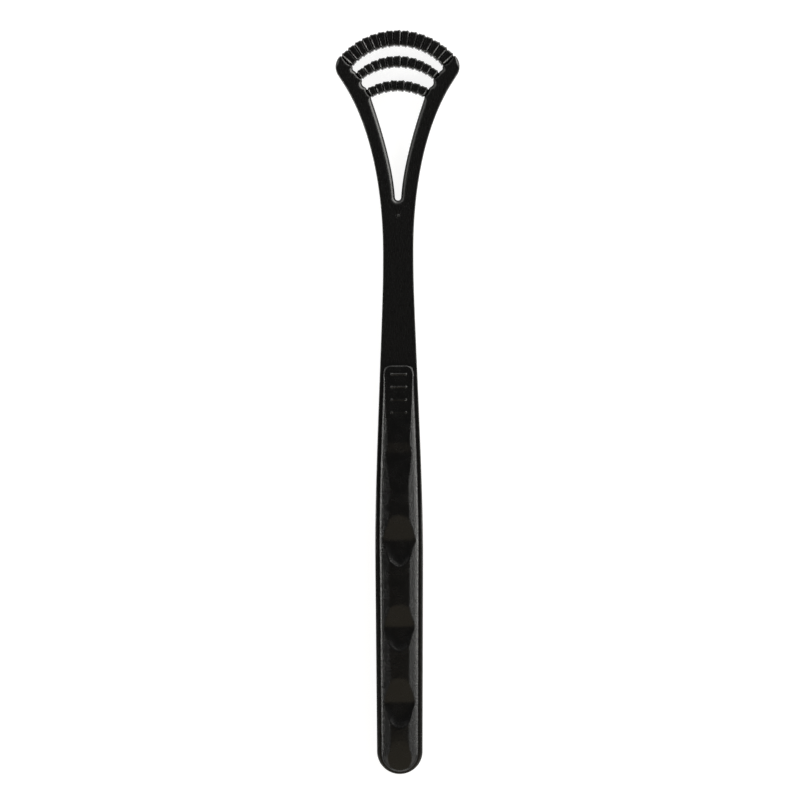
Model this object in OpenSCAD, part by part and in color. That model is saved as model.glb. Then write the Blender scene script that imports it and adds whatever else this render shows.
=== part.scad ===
// Tongue scraper: a flat forked frame, a grip moulded through its handle and three ribbed bars.
// It lies on its back, with the ribbed front up (+Z) and the head towards +Y.

/* [Overall] */
// Length from the butt of the handle to the front of the head
total_len = 180; // [165:1:195]
// Thickness of the rigid frame
frame_t = 3; // [2.4:0.1:4]

/* [Head outline] */
// Width across the two rounded corners of the head
head_w = 30; // [28.5:0.5:32]
// Radius of the curved front edge
front_r = 18.55; // [17.8:0.05:20]
// Radius of the two rounded corners
corner_r = 3.6; // [2.8:0.1:4.2]
// Angle of the fork arms to the long axis where they reach the corners
flare_angle = 35; // [30:1:38]
// Pull of the flare curve at the corners
flare_pull = 20; // [16:1:24]

/* [Handle outline] */
// Width of the neck at its narrowest
neck_w = 7.36; // [6.6:0.02:8.4]
// Distance of the narrowest point from the front of the head
neck_from_front = 57; // [54:1:62]
// Pull of the flare curve at the neck
neck_pull = 5; // [2:1:8]
// Width of the handle at its widest
palm_w = 11.6; // [10.6:0.1:13]
// Distance of the widest point from the butt
palm_from_butt = 54; // [48:1:62]
// Pull of the handle curve below the neck
handle_top_pull = 11; // [6:1:16]
// Pull of the handle curve above the widest point
handle_low_pull = 20; // [12:1:26]
// Width of the handle where its round butt starts
butt_w = 11; // [10:0.1:12.4]

/* [Bars and slots] */
// Width of the outer bar over its ribs
outer_bar_w = 4; // [3.6:0.05:4.4]
// Width of the middle bar over its ribs
middle_bar_w = 2.95; // [2.7:0.05:3.3]
// Width of the inner bar over its ribs
inner_bar_w = 2.8; // [2.6:0.05:3.2]
// Gap between the outer and the middle bar
outer_slot_w = 2.2; // [1.8:0.05:2.5]
// Gap between the middle and the inner bar
inner_slot_w = 2.95; // [2.5:0.05:3.2]
// Half angle of the ribbed stretch of the outer bar
outer_seam_angle = 48; // [46:0.5:48.5]
// Half angle of the ribbed stretch of the middle bar
middle_seam_angle = 40; // [38:0.5:40.5]
// Half angle of the ribbed stretch of the inner bar
inner_seam_angle = 28.6; // [27:0.1:29]
// Half angle of the outer slot, to the centres of its round ends
outer_slot_angle = 44; // [43:0.5:45]
// Half angle of the inner slot, to the centres of its round ends
inner_slot_angle = 31; // [30:0.5:32]
// Radius of the outer slot's round ends
outer_slot_end_r = 0.8; // [0.7:0.05:0.9]
// Radius of the inner slot's round ends
inner_slot_end_r = 1.2; // [1:0.05:1.3]

/* [V gap] */
// Width of the V gap at the inner bar
gap_w = 13; // [12.4:0.1:13.4]
// Length of the V gap from the inner bar to the centre of its round end
gap_len = 25.6; // [23:0.1:28]
// Radius of the round end in the crotch
crotch_r = 0.75; // [0.6:0.05:1]
// Width of the V gap's curve pull
gap_pull_w = 2.6; // [2:0.1:3.4]
// Height of the V gap's curve pull above the round end
gap_pull_len = 9; // [7:0.5:11]

/* [Ribs] */
// Spacing of the ribs along a bar
rib_pitch = 1.85; // [1.6:0.05:2.3]
// Width of the groove between two ribs
groove_w = 0.4; // [0.3:0.05:0.6]
// Height of a rib above its groove, all round the bar
rib_rise = 0.25; // [0.15:0.05:0.3]
// Soft material around the rail, measured from a rib's crest
rail_cover = 0.75; // [0.6:0.05:0.85]
// Thickness of the rigid rails inside the bars
rail_t = 1.6; // [1.2:0.1:2]
// Depth to which a rail runs on into the fork arms, as an angle
rail_root_angle = 2.5; // [1:0.5:3]

/* [Grip] */
// Distance of the grip's top edge from the front of the head
grip_from_front = 81.2; // [78:0.2:88]
// Width of the rim that the frame leaves beside the grip
rim_w = 1; // [0.8:0.05:1.3]
// Width of the rim at the butt
rim_end_w = 0.55; // [0.4:0.05:0.9]
// Radius of the grip's top corners in plan
grip_corner_r = 1.2; // [0.8:0.1:1.8]
// Height of the grip above the front of the frame
grip_rise = 2.4; // [2:0.1:2.8]
// Radius of the grip's crown from side to side
crown_r = 15; // [12:0.5:20]
// Width of the crown between the two sloped flanks
crown_w = 5.2; // [4.4:0.1:6]
// Slope of the flanks
flank_angle = 28; // [22:1:32]
// Radius of the edge between the grip's front and its side wall
grip_edge_r = 0.5; // [0.3:0.05:0.6]
// Height of the grip above the frame at its top end
top_end_rise = 0.9; // [0.7:0.05:1.2]
// Length of the slope that climbs from the top end to the full height
climb_len = 28; // [20:1:34]
// Length of the fall towards the butt
fall_len = 10; // [8:0.5:12]
// Radius of the fall towards the butt, in the side view
fall_r = 34; // [32:1:60]
// Height of the back pad below the back of the frame
back_rise = 0.5; // [0.4:0.05:0.8]
// Depth of the front pocket in the frame
front_pocket = 0.8; // [0.6:0.05:1]
// Depth of the back pocket in the frame
back_pocket = 0.6; // [0.4:0.05:0.8]
// Gap left between two moulded pieces
bond_gap = 0.02; // [0.01:0.01:0.05]

/* [Windows] */
// Number of windows that lock the grip to the frame
window_count = 4; // [3:1:5]
// Width of a window
window_w = 4; // [3:0.1:4.6]
// Length of a window
window_len = 13; // [8:0.5:15]

/* [Finger scoops] */
// Distance of the first scoop's lowest line from the grip's top edge
scoop_start = 21.2; // [19:0.2:23]
// Spacing of the first three scoops
scoop_pitch = 21; // [19:0.2:22]
// Spacing of the last two scoops, narrower for the little finger
last_scoop_pitch = 18.2; // [16:0.2:20]
// Depth of the first scoop at the crown
first_scoop_depth = 0.35; // [0.2:0.05:0.6]
// Depth of the other scoops at the crown
scoop_depth = 1; // [0.6:0.05:1.2]
// Radius of a scoop along the handle
scoop_r = 18; // [14:0.5:24]

/* [Thumb ribs] */
// Number of small ribs at the top of the grip
thumb_rib_count = 4; // [2:1:5]
// Distance of the first small rib from the grip's top edge
thumb_rib_start = 2.2; // [2:0.1:3.5]
// Spacing of the small ribs
thumb_rib_pitch = 3.07; // [2.4:0.01:3.6]
// Length of a small rib
thumb_rib_len = 4.3; // [3:0.1:4.8]
// Radius of a small rib
thumb_rib_r = 0.35; // [0.25:0.05:0.5]
// Height of a small rib above the crown
thumb_rib_rise = 0.25; // [0.1:0.05:0.3]

/* [Gate mark] */
// Diameter of the round gate mark on the neck
gate_d = 1.2; // [0.8:0.1:2]
// Depth of the gate mark
gate_depth = 0.15; // [0.1:0.05:0.3]
// Distance of the gate mark below the V gap's round end
gate_drop = 4.3; // [3:0.1:6]

/* [Hidden] */
$fn = 96;

// Overrun of a cut past the surface it opens
overrun = 0.5;
// Number of straight pieces in each curved stretch of an outline
curve_steps = 14;

// Heights of the frame's two faces, of its middle and of the grip's highest line
back_z = back_rise;
front_z = back_z + frame_t;
mid_z = back_z + frame_t / 2;
grip_top_z = front_z + grip_rise;

// Stations along the length
front_y = total_len / 2;
butt_y = -total_len / 2;
neck_y = front_y - neck_from_front;
palm_y = butt_y + palm_from_butt;
butt_centre_y = butt_y + butt_w / 2;
grip_top_y = front_y - grip_from_front;

// Centres of the front arc and of the corner on the right
front_centre_y = front_y - front_r;
corner_x = head_w / 2 - corner_r;
corner_y = front_centre_y + sqrt(pow(front_r - corner_r, 2) - pow(corner_x, 2));
corner_end_angle = atan2(corner_y - front_centre_y, corner_x);

// All the inner edges of the bars share the radius of the outer bar's inner edge
bar_r = front_r - outer_bar_w;
outer_low_y = front_y - outer_bar_w;
middle_high_y = outer_low_y - outer_slot_w;
middle_low_y = middle_high_y - middle_bar_w;
inner_high_y = middle_low_y - inner_slot_w;
inner_low_y = inner_high_y - inner_bar_w;

// Ends of the V gap
crotch_y = inner_low_y - gap_len;
gap_top_y = inner_low_y - bar_r + sqrt(pow(bar_r, 2) - pow(gap_w / 2, 2));

// Station and depth of each finger scoop
scoops = [
    [grip_top_y - scoop_start, first_scoop_depth],
    [grip_top_y - scoop_start - scoop_pitch, scoop_depth],
    [grip_top_y - scoop_start - 2 * scoop_pitch, scoop_depth],
    [grip_top_y - scoop_start - 2 * scoop_pitch - last_scoop_pitch, scoop_depth],
];

function bezier(p, t) = pow(1 - t, 3) * p[0] + 3 * pow(1 - t, 2) * t * p[1]
    + 3 * (1 - t) * pow(t, 2) * p[2] + pow(t, 3) * p[3];
function curve(p, steps) = [for (i = [0:steps]) bezier(p, i / steps)];
function bend(p, steps) = [for (i = [0:steps]) let (t = i / steps)
    pow(1 - t, 2) * p[0] + 2 * (1 - t) * t * p[1] + pow(t, 2) * p[2]];
function arc(x, y, r, from, to, steps) = [for (i = [0:steps])
    let (a = from + (to - from) * i / steps) [x + r * cos(a), y + r * sin(a)]];
function backwards(p) = [for (i = [len(p) - 1:-1:0]) p[i]];
function mirrored(p) = [for (q = backwards(p)) [-q.x, q.y]];
function leave_first(p) = [for (i = [1:len(p) - 1]) p[i]];

// Right side of the handle, from its widest point up to the neck
handle_side = curve([
    [palm_w / 2, palm_y],
    [palm_w / 2, palm_y + handle_low_pull],
    [neck_w / 2, neck_y - handle_top_pull],
    [neck_w / 2, neck_y],
], curve_steps);

// Right side of the flare, from the neck up to the corner
flare_end = [corner_x + corner_r * cos(flare_angle), corner_y - corner_r * sin(flare_angle)];
flare_side = curve([
    [neck_w / 2, neck_y],
    [neck_w / 2, neck_y + neck_pull],
    flare_end - flare_pull * [sin(flare_angle), cos(flare_angle)],
    flare_end,
], curve_steps);

// Half width of the handle at a station
handle_table = concat([[butt_centre_y, butt_w / 2]], [for (p = handle_side) [p.y, p.x]]);
function handle_half(y) = lookup(y, handle_table);

// Outline of the whole scraper seen from the front
module silhouette() {
    right = concat(
        arc(0, butt_centre_y, butt_w / 2, -90, 0, curve_steps),
        handle_side,
        leave_first(flare_side),
        leave_first(arc(corner_x, corner_y, corner_r, -flare_angle, corner_end_angle, curve_steps)),
        leave_first(arc(0, front_centre_y, front_r, corner_end_angle, 90, curve_steps))
    );
    polygon(concat(right, mirrored(right)));
}

// Pie slice about a point on the axis, wide enough for any bar
module pie(y, half_angle) {
    reach = 2 * front_r;
    translate([0, y])
        polygon([[0, 0], [reach * sin(half_angle), reach * cos(half_angle)],
            [-reach * sin(half_angle), reach * cos(half_angle)]]);
}

// Region between two arcs of the bars, given by their tops on the axis and their radii
module between_arcs(high_y, high_r, low_y, low_r, grow) {
    difference() {
        translate([0, high_y - high_r]) circle(r = high_r + grow);
        translate([0, low_y - low_r]) circle(r = low_r - grow);
    }
}

// Curved slot with round ends
module slot(high_y, low_y, half_angle, end_r) {
    centre_y = (high_y + low_y) / 2 - bar_r;
    intersection() {
        between_arcs(high_y, bar_r, low_y, bar_r, 0);
        pie(centre_y, half_angle);
    }
    for (side = [-1, 1])
        translate([side * bar_r * sin(half_angle), centre_y + bar_r * cos(half_angle)])
            circle(r = end_r);
}

// V-shaped gap between the fork arms, closed at its top by the inner bar
module v_gap() {
    side = bend([
        [crotch_r, crotch_y],
        [gap_pull_w / 2, crotch_y + gap_pull_len],
        [gap_w / 2, gap_top_y],
    ], curve_steps);
    intersection() {
        polygon(concat(side, [[gap_w / 2, inner_low_y + overrun]],
            [[-gap_w / 2, inner_low_y + overrun]], mirrored(side)));
        translate([0, inner_low_y - bar_r]) circle(r = bar_r);
    }
    translate([0, crotch_y]) circle(r = crotch_r);
}

// One bar is a list: top of its outer edge, radius of that edge, top of its inner edge, half angle
outer_bar = [front_y, front_r, outer_low_y, outer_seam_angle];
middle_bar = [middle_high_y, bar_r, middle_low_y, middle_seam_angle];
inner_bar = [inner_high_y, bar_r, inner_low_y, inner_seam_angle];
bars = [outer_bar, middle_bar, inner_bar];

function bar_mid_r(bar) = (bar[1] + bar_r) / 2;
function bar_centre_y(bar) = (bar[0] + bar[2]) / 2 - bar_mid_r(bar);
function as_angle(bar, length) = length / bar_mid_r(bar) * 180 / PI;

// Plan of a bar between its seams, grown or shrunk all round
module bar_plan(bar, grow, half_angle) {
    intersection() {
        between_arcs(bar[0], bar[1], bar[2], bar_r, grow);
        pie(bar_centre_y(bar), half_angle);
    }
}

// Rigid rail that carries the soft bar and roots in both fork arms
module rail(bar, clearance) {
    translate([0, 0, mid_z - rail_t / 2 - clearance])
        linear_extrude(rail_t + 2 * clearance)
            bar_plan(bar, clearance - rail_cover, bar[3] + rail_root_angle);
}

// Ribbed soft bar, moulded round its rail
module scraper(bar) {
    reach = bar[3] - as_angle(bar, bond_gap);
    count = round(2 * bar[3] / as_angle(bar, rib_pitch));
    step = 2 * bar[3] / count;
    rib_half = step / 2 - as_angle(bar, groove_w / 2);
    difference() {
        union() {
            translate([0, 0, back_z])
                linear_extrude(frame_t)
                    bar_plan(bar, -rib_rise, reach);
            translate([0, 0, back_z - rib_rise])
                linear_extrude(frame_t + 2 * rib_rise)
                    for (i = [0:count - 1]) rib_plan(bar, -bar[3] + (i + 0.5) * step, rib_half);
        }
        rail(bar, bond_gap);
    }
}

// Plan of one rib, which stands across the bar
module rib_plan(bar, turn, half_angle) {
    intersection() {
        between_arcs(bar[0], bar[1], bar[2], bar_r, 0);
        translate([0, bar_centre_y(bar)]) rotate(-turn) translate([0, -bar_centre_y(bar)])
            pie(bar_centre_y(bar), half_angle);
    }
}

// Plan of the grip, drawn in from the edge of its pocket
module grip_plan(inset) {
    half = [for (i = [0:curve_steps])
        let (y = palm_y + (grip_top_y - grip_corner_r - palm_y) * i / curve_steps)
        [handle_half(y) - rim_w - inset, y]];
    end_r = butt_w / 2 - rim_w;
    top_half = handle_half(grip_top_y) - rim_w;
    right = concat(
        arc(0, butt_y + rim_end_w + end_r, end_r - inset, -90, 0, curve_steps),
        half,
        leave_first(arc(top_half - grip_corner_r, grip_top_y - grip_corner_r,
            grip_corner_r - inset, 0, 90, curve_steps))
    );
    polygon(concat(right, mirrored(right)));
}

// Plans of the windows through the handle
module window_plan(inset) {
    grip_low_y = butt_y + rim_end_w;
    pitch = (grip_top_y - grip_low_y) / window_count;
    round_r = window_w / 2 - inset;
    half_len = window_len / 2 - window_w / 2;
    for (i = [0:window_count - 1])
        translate([0, grip_low_y + (i + 0.5) * pitch]) {
            square([2 * round_r, 2 * half_len], center = true);
            for (side = [-1, 1]) translate([0, side * half_len]) circle(r = round_r);
        }
}

// Cross section of the grip's front: a crown between two sloped flanks, with round edges
module pad_section() {
    half = palm_w / 2 - rim_w - bond_gap;
    crown_angle = asin(crown_w / 2 / crown_r);
    flank_z = grip_top_z - crown_r * (1 - cos(crown_angle));
    edge_x = half - grip_edge_r;
    edge_z = flank_z - (edge_x - crown_w / 2) * tan(flank_angle) - grip_edge_r / cos(flank_angle);
    right = concat(
        [[half, 0]],
        arc(edge_x, edge_z, grip_edge_r, 0, 90 - flank_angle, curve_steps),
        arc(0, grip_top_z - crown_r, crown_r, 90 - crown_angle, 90, curve_steps)
    );
    polygon(concat(right, mirrored(right)));
}

// Side view of the grip's front: it climbs from its low top end and falls again to the butt
module pad_side() {
    low_y = butt_y + rim_end_w + bond_gap;
    high_y = grip_top_y - bond_gap;
    fall_angle = asin(fall_len / fall_r);
    low_z = grip_top_z - fall_r * (1 - cos(fall_angle)) - grip_edge_r;
    polygon(concat(
        [[low_y, 0]],
        arc(low_y + grip_edge_r, low_z, grip_edge_r, 180, 90 + fall_angle, curve_steps),
        arc(low_y + fall_len, grip_top_z - fall_r, fall_r, 90 + fall_angle, 90, curve_steps),
        [[high_y - climb_len, grip_top_z]],
        arc(high_y - grip_edge_r, front_z + top_end_rise - grip_edge_r, grip_edge_r, 90, 0, curve_steps),
        [[high_y, 0]]
    ));
}

// Height of the climbing surface at a station
function climb_z(y) = min(grip_top_z, front_z + top_end_rise
    + (grip_top_y - y) / climb_len * (grip_rise - top_end_rise));

// Front of the grip: its plan, its section and its side view meet in one solid
module front_pad() {
    intersection() {
        translate([0, 0, front_z - front_pocket + bond_gap])
            linear_extrude(grip_rise + front_pocket)
                grip_plan(bond_gap);
        translate([0, front_y, 0]) rotate([90, 0, 0])
            linear_extrude(total_len) pad_section();
        translate([-head_w / 2, 0, 0]) rotate([90, 0, 90])
            linear_extrude(head_w)
                difference() {
                    pad_side();
                    for (scoop = scoops)
                        translate([scoop[0], climb_z(scoop[0]) - scoop[1] + scoop_r])
                            circle(r = scoop_r);
                }
    }
}

// Small rib across the top of the grip
module thumb_rib() {
    half_len = thumb_rib_len / 2 - thumb_rib_r;
    rotate([0, 90, 0]) cylinder(h = 2 * half_len, r = thumb_rib_r, center = true, $fn = 24);
    for (side = [-1, 1]) translate([side * half_len, 0, 0]) sphere(r = thumb_rib_r, $fn = 24);
}

module frame() {
    color("#151513")
    difference() {
        union() {
            translate([0, 0, back_z])
                linear_extrude(frame_t)
                    difference() {
                        silhouette();
                        slot(outer_low_y, middle_high_y, outer_slot_angle, outer_slot_end_r);
                        slot(middle_low_y, inner_high_y, inner_slot_angle, inner_slot_end_r);
                        v_gap();
                        for (bar = bars) bar_plan(bar, overrun, bar[3]);
                    }
            for (bar = bars) rail(bar, 0);
        }
        translate([0, 0, front_z - front_pocket])
            linear_extrude(front_pocket + overrun) grip_plan(0);
        translate([0, 0, back_z - overrun])
            linear_extrude(back_pocket + overrun) grip_plan(0);
        translate([0, 0, back_z - overrun])
            linear_extrude(frame_t + 2 * overrun) window_plan(0);
        translate([0, crotch_y - crotch_r - gate_drop + gate_d / 2, front_z - gate_depth])
            cylinder(h = gate_depth + overrun, d = gate_d);
    }
}

module grip() {
    color("#1d1d1b")
    union() {
        front_pad();
        linear_extrude(back_rise + back_pocket - bond_gap) grip_plan(bond_gap);
        linear_extrude(front_z) window_plan(bond_gap);
        for (i = [0:thumb_rib_count - 1])
            let (y = grip_top_y - thumb_rib_start - i * thumb_rib_pitch)
                translate([0, y, climb_z(y) + thumb_rib_rise - thumb_rib_r]) thumb_rib();
    }
}

module outer_scraper() {
    color("#262624") scraper(outer_bar);
}

module middle_scraper() {
    color("#262624") scraper(middle_bar);
}

module inner_scraper() {
    color("#262624") scraper(inner_bar);
}

frame();
grip();
outer_scraper();
middle_scraper();
inner_scraper();
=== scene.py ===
import math

import bmesh
import bpy
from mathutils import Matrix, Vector
from mathutils.geometry import tessellate_polygon


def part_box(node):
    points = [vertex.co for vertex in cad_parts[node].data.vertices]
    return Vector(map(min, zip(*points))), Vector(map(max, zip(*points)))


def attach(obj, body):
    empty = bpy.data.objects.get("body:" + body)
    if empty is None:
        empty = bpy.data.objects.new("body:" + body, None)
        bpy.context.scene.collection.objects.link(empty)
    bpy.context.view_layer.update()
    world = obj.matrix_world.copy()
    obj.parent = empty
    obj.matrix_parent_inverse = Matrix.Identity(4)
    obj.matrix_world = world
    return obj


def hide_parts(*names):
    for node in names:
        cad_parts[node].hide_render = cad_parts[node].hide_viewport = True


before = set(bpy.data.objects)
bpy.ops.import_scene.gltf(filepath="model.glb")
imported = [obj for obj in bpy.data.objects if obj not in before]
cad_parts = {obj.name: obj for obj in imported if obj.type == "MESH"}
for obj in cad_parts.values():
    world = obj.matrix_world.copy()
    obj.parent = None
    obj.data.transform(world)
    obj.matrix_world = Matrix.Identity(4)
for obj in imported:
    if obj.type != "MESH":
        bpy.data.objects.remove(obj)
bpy.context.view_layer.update()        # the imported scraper: frame, grip and three ribbed bars
print("Frame loaded:", ", ".join(sorted(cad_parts)))

mm = 0.001


# Small helpers

def hexColour(text):
    # an sRGB hex value as the linear colour that shaders take
    parts = [int(text[i:i + 2], 16) / 255 for i in (1, 3, 5)]
    return [p / 12.92 if p <= 0.04045 else ((p + 0.055) / 1.055) ** 2.4 for p in parts] + [1]


def addNode(tree, kind, settings=None, links=None):
    # settings are the node's own properties, links its inputs: a socket to join or a plain value
    node = tree.nodes.new(kind)
    for name, value in (settings or {}).items():
        setattr(node, name, value)
    for name, value in (links or {}).items():
        if isinstance(value, bpy.types.NodeSocket):
            tree.links.new(value, node.inputs[name])
        else:
            node.inputs[name].default_value = value
    return node


def emptyTree(owner):
    # the node tree of a material or world, without the nodes that it starts with
    owner.use_nodes = True
    owner.node_tree.nodes.clear()
    return owner.node_tree


def newObject(name, data):
    made = bpy.data.objects.new(name, data)
    bpy.context.scene.collection.objects.link(made)
    return made


def smoothMin(a, b, blend):
    # the lower of two heights, with the crease between them rounded over
    near = max(blend - abs(a - b), 0) / blend
    return min(a, b) - near * near * blend / 4


def smoothStep(t):
    t = min(max(t, 0), 1)
    return t * t * (3 - 2 * t)


# Camera: the photograph looks square down on the front, with the head up

shot = {
    "viewSpan": 193.4 * mm,      # what the 800 pixels span at the frame's front
    "centreX": 0.32 * mm,
    "centreY": 0.44 * mm,
    "lean": 0.185,               # degrees by which the scraper leans to the left
    "lens": 150,
    "sensor": 36,
    "sees": 20,                  # metres
}


def makeCamera(frontZ):
    data = bpy.data.cameras.new("photoCamera")
    data.lens = shot["lens"]
    data.sensor_width = shot["sensor"]
    data.clip_end = shot["sees"]
    camera = newObject("photoCamera", data)
    distance = shot["viewSpan"] * shot["lens"] / shot["sensor"]
    camera.location = (shot["centreX"], shot["centreY"], frontZ + distance)
    camera.rotation_euler = (0, 0, -math.radians(shot["lean"]))
    bpy.context.scene.camera = camera


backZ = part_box("frame")[0].z
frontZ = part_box("frame")[1].z
makeCamera(frontZ)
bpy.context.scene.view_settings.view_transform = "Standard"
print("Camera set")


# Light and floor: a pale sheet under soft lamps, none of them above the object

# two kinds of lamp with a honeycomb, which leaves them beam degrees to each side
gripLamp = {"away": 0.6, "wide": 0.14, "beam": 13, "at": "gripMiddle"}
ribLamp = {"rise": 29, "away": 0.6, "wide": 0.2, "tall": 0.24, "beam": 9, "at": "pastHead"}
buttSideLamp = {"rise": 28, "away": 0.7, "wide": 0.5, "tall": 0.3}
softLamps = {
    # turn is the direction from the scraper (0 right, 90 beyond its head), rise the height, both in degrees;
    # away, wide and tall are metres and level is how bright the lamp's face is
    "headRightLamp": {"turn": 40, "rise": 19, "away": 0.8, "wide": 0.95, "tall": 0.4, "level": 8.6},
    "headLeftLamp": {"turn": 142, "rise": 18, "away": 0.8, "wide": 0.8, "tall": 0.36, "level": 2.7},
    "headLamp": {"turn": 90, "rise": 18, "away": 0.8, "wide": 0.6, "tall": 0.36, "level": 2.3},
    "rightLamp": {"turn": 0, "rise": 24, "tall": 0.2, "level": 6.5, **gripLamp},
    "lowRightLamp": {"turn": 0, "rise": 8, "tall": 0.13, "level": 19.5, **gripLamp},
    "buttLamp": {"turn": -90, "rise": 50, "away": 0.9, "wide": 1.5, "tall": 0.88, "level": 0.43,
                 "tint": "#ffeecb"},
    "lowButtLamp": {"turn": -90, "rise": 12, "away": 0.7, "wide": 0.5, "tall": 0.16, "level": 3.9},
    "leftLamp": {"turn": 180, "rise": 7, "tall": 0.12, "level": 22, **gripLamp},
    "ribLeftLamp": {"turn": 224, "level": 40, **ribLamp},
    "ribFarLeftLamp": {"turn": 199, "level": 34, **ribLamp},
    "ribRightLamp": {"turn": -48, "level": 31, **ribLamp},
    "ribFarRightLamp": {"turn": -27, "level": 20, **ribLamp},
    "buttLeftLamp": {"turn": -140, "level": 1.3, **buttSideLamp},
    "buttRightLamp": {"turn": -40, "level": 1.8, **buttSideLamp},
}
room = {
    "air": "#464646",            # what a surface sees of the room between the lamps
    "gripMiddle": -47 * mm,      # the stations that the lamps with a honeycomb are aimed at
    "pastHead": 150 * mm,
    "lampTint": "#fffefa",
    "sheet": "#858583",
    "sheetLift": 0.9,            # how far the white sheet is lifted for the camera
    "sheetHalf": 3.0,            # metres from its middle to its sides
    "sheetDrop": 0.02 * mm,      # the scraper lies this little above the sheet
}


def makeLamp(name, lamp):
    data = bpy.data.lights.new(name, "AREA")
    data.shape = "RECTANGLE"
    data.size = lamp["wide"]
    data.size_y = lamp["tall"]
    data.energy = lamp["level"] * math.pi * lamp["wide"] * lamp["tall"]
    data.color = hexColour(lamp.get("tint", room["lampTint"]))[:3]
    aim = Vector((0, 0, 0))
    if "beam" in lamp:
        # a lamp with a honeycomb in front lights only the part that it is aimed at
        half = math.radians(lamp["beam"])
        data.spread = 2 * half
        data.energy *= (math.tan(half) - half) / math.tan(half)
        aim.y = room[lamp["at"]]
    turn, rise = math.radians(lamp["turn"]), math.radians(lamp["rise"])
    away = Vector((math.cos(turn) * math.cos(rise), math.sin(turn) * math.cos(rise), math.sin(rise)))
    light = newObject(name, data)
    light.location = aim + away * lamp["away"]
    light.rotation_euler = away.to_track_quat("Z", "Y").to_euler()


def seenBy(tree, *rays):
    # 1 for the kinds of ray that are named, 0 for every other ray
    path = addNode(tree, "ShaderNodeLightPath")
    seen = path.outputs[rays[0]]
    for ray in rays[1:]:
        either = addNode(tree, "ShaderNodeMath", {"operation": "MAXIMUM"}, {0: seen, 1: path.outputs[ray]})
        seen = either.outputs[0]
    return seen


def makeRoom():
    # white behind the object; the black plastic mirrors the darker air of the room
    world = bpy.data.worlds.new("studioRoom")
    tree = emptyTree(world)
    air = addNode(tree, "ShaderNodeBackground", None, {"Color": hexColour(room["air"]), "Strength": 1})
    white = addNode(tree, "ShaderNodeBackground", None, {"Color": (1, 1, 1, 1), "Strength": 1})
    mixed = addNode(tree, "ShaderNodeMixShader", None, {
        0: seenBy(tree, "Is Camera Ray", "Is Transmission Ray"), 1: air.outputs[0], 2: white.outputs[0]})
    addNode(tree, "ShaderNodeOutputWorld", None, {"Surface": mixed.outputs[0]})
    bpy.context.scene.world = world


def paperSheet():
    # matt white paper: its own grey takes the shadow, and the lift brings it up to white
    material = bpy.data.materials.new("mattPaper")
    tree = emptyTree(material)
    paper = addNode(tree, "ShaderNodeBsdfDiffuse", None, {"Color": hexColour(room["sheet"])})
    lift = addNode(tree, "ShaderNodeEmission", None, {"Color": (1, 1, 1, 1), "Strength": room["sheetLift"]})
    lifted = addNode(tree, "ShaderNodeAddShader", None, {0: paper.outputs[0], 1: lift.outputs[0]})
    mixed = addNode(tree, "ShaderNodeMixShader", None, {
        0: seenBy(tree, "Is Camera Ray", "Is Glossy Ray", "Is Transmission Ray"),
        1: paper.outputs[0], 2: lifted.outputs[0]})
    addNode(tree, "ShaderNodeOutputMaterial", None, {"Surface": mixed.outputs[0]})
    return material


def makeFloor():
    half = room["sheetHalf"]
    mesh = bpy.data.meshes.new("floor")
    low = -room["sheetDrop"]
    corners = [(-half, -half, low), (half, -half, low), (half, half, low), (-half, half, low)]
    mesh.from_pydata(corners, [], [(0, 1, 2, 3)])
    mesh.materials.append(paperSheet())
    floor = newObject("floor", mesh)


for lampName, lampValues in softLamps.items():
    makeLamp(lampName, lampValues)
makeRoom()
makeFloor()
print("Room and lamps set:", len(softLamps), "lamps")


# Materials

def newMaterial(name):
    material = bpy.data.materials.new(name)
    tree = emptyTree(material)
    return material, tree, addNode(tree, "ShaderNodeTexCoord").outputs["Object"]


def noiseAt(tree, place, size, detail=2, stretch=None):
    # noise whose lumps are about size across, in metres
    if stretch:
        place = addNode(tree, "ShaderNodeMapping", None, {"Vector": place, "Scale": stretch}).outputs[0]
    noise = addNode(tree, "ShaderNodeTexNoise", None, {"Vector": place, "Scale": 1 / size, "Detail": detail})
    return noise.outputs[0]


def between(tree, share, low, high):
    # a number that follows a noise from low to high; nearly all of a noise lies between 0.3 and 0.7
    return addNode(tree, "ShaderNodeMapRange", None, {
        "Value": share, "From Min": 0.3, "From Max": 0.7, "To Min": low, "To Max": high}).outputs[0]


def mixHex(tree, share, first, second):
    colours = {0: share, 6: hexColour(first), 7: hexColour(second)}
    return addNode(tree, "ShaderNodeMix", {"data_type": "RGBA"}, colours).outputs[2]


def finishMaterial(tree, values, relief, pattern):
    # relief is the noise that stands out of the surface, pattern the one that colour and gloss follow
    bump = addNode(tree, "ShaderNodeBump", None, {
        "Height": relief, "Distance": values["height"], "Strength": 1})
    shader = addNode(tree, "ShaderNodeBsdfPrincipled", None, {
        "Base Color": mixHex(tree, pattern, values["colour"], values["haze"]),
        "Roughness": between(tree, pattern, values["roughLow"], values["roughHigh"]),
        "Normal": bump.outputs[0], "IOR": values["ior"], "Specular IOR Level": values["specular"],
    })
    addNode(tree, "ShaderNodeOutputMaterial", None, {"Surface": shader.outputs[0]})


blackAbs = {
    # injection moulded ABS from a polished mould: a deep black with a soft, slightly wavy gloss
    "colour": "#070707",
    "haze": "#0a0a0a",
    "ripple": 1.4 * mm,
    "height": 0.004 * mm,        # of the ripple
    "rub": 0.12 * mm,            # width of the rubbing marks, which run along the handle
    "rubStretch": (1, 0.08, 1),
    "roughLow": 0.24,
    "roughHigh": 0.34,
    "ior": 1.5,
    "specular": 0.39,
}


def blackAbsMaterial():
    material, tree, place = newMaterial("blackAbs")
    ripple = noiseAt(tree, place, blackAbs["ripple"], 1)
    rub = noiseAt(tree, place, blackAbs["rub"], 3, blackAbs["rubStretch"])
    finishMaterial(tree, blackAbs, ripple, rub)
    return material


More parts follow.
